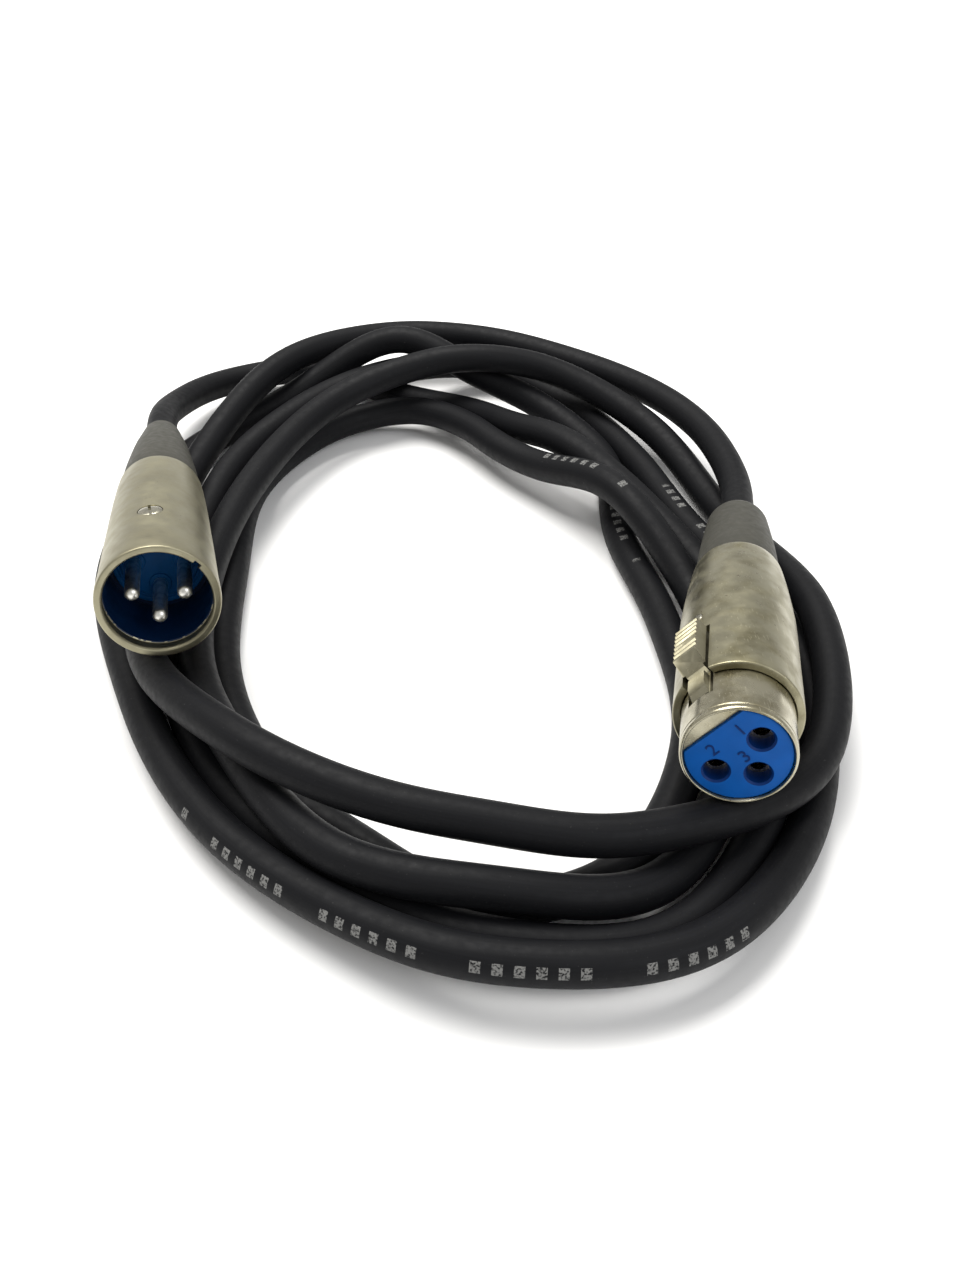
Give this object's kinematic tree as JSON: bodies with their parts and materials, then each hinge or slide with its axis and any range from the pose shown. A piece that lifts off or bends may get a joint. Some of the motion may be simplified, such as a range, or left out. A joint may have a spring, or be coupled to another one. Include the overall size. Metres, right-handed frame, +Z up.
{
  "type": "xlr cable coil",
  "caption": "Balanced microphone cable with a pin connector at one end and a latching socket connector at the other, wound flat into a loose oval coil.",
  "frame": {"origin": "middle of the lead's outer box, on the surface that the coil lies on", "axes": "+Z up from that surface, -Y towards the side that both connector mouths face, +Y along the coil's longer axis"},
  "size_m": [0.1309, 0.1808, 0.0327],
  "materials": {
    "satin_nickel": "satin nickel plate over die-cast zinc",
    "worn_nickel": "nickel plate with scuffs",
    "bright_nickel": "polished nickel plate, stained at the lip",
    "latch_nickel": "polished nickel plate with a ribbed pad",
    "pin_silver": "polished silver plate",
    "contact_silver": "silver plate",
    "screw_steel": "zinc-plated steel",
    "spring_bronze": "phosphor bronze",
    "navy_plastic": "glossy moulded nylon",
    "blue_plastic": "moulded nylon",
    "clamp_plastic": "moulded nylon",
    "boot_rubber": "soft moulded rubber",
    "jacket_pvc": "matt flexible PVC with pale index marks",
    "wire_insulation_1": "extruded insulation",
    "wire_insulation_2": "extruded insulation",
    "wire_insulation_3": "extruded insulation"
  },
  "bodies": {
    "lead": {"male_shell": "satin_nickel", "male_insert": "navy_plastic", "male_pin_1": "pin_silver", "male_pin_2": "pin_silver", "male_pin_3": "pin_silver", "male_set_screw": "screw_steel", "male_chuck": "clamp_plastic", "male_boot": "boot_rubber", "male_wire_1": "wire_insulation_1", "male_wire_2": "wire_insulation_2", "male_wire_3": "wire_insulation_3", "female_sleeve": "worn_nickel", "female_nose": "bright_nickel", "female_insert": "blue_plastic", "female_contact_1": "contact_silver", "female_contact_2": "contact_silver", "female_contact_3": "contact_silver", "latch_pin": "screw_steel", "latch_spring": "spring_bronze", "female_set_screw": "screw_steel", "female_chuck": "clamp_plastic", "female_boot": "boot_rubber", "female_wire_1": "wire_insulation_1", "female_wire_2": "wire_insulation_2", "female_wire_3": "wire_insulation_3", "cable_jacket": "jacket_pvc"},
    "latch": {"latch_lever": "latch_nickel"}
  },
  "joints": [
    {"name": "latch_press", "type": "hinge", "parent": "lead", "child": "latch", "pos_m": [0.04019, -0.03421, 0.02187], "axis": [0.6633, -0.0194, 0.7481], "range_deg": [0, 3], "stiffness_Nm_per_rad": 0.3, "springref_deg": -1.72, "deforming": ["latch_spring"]}
  ]
}
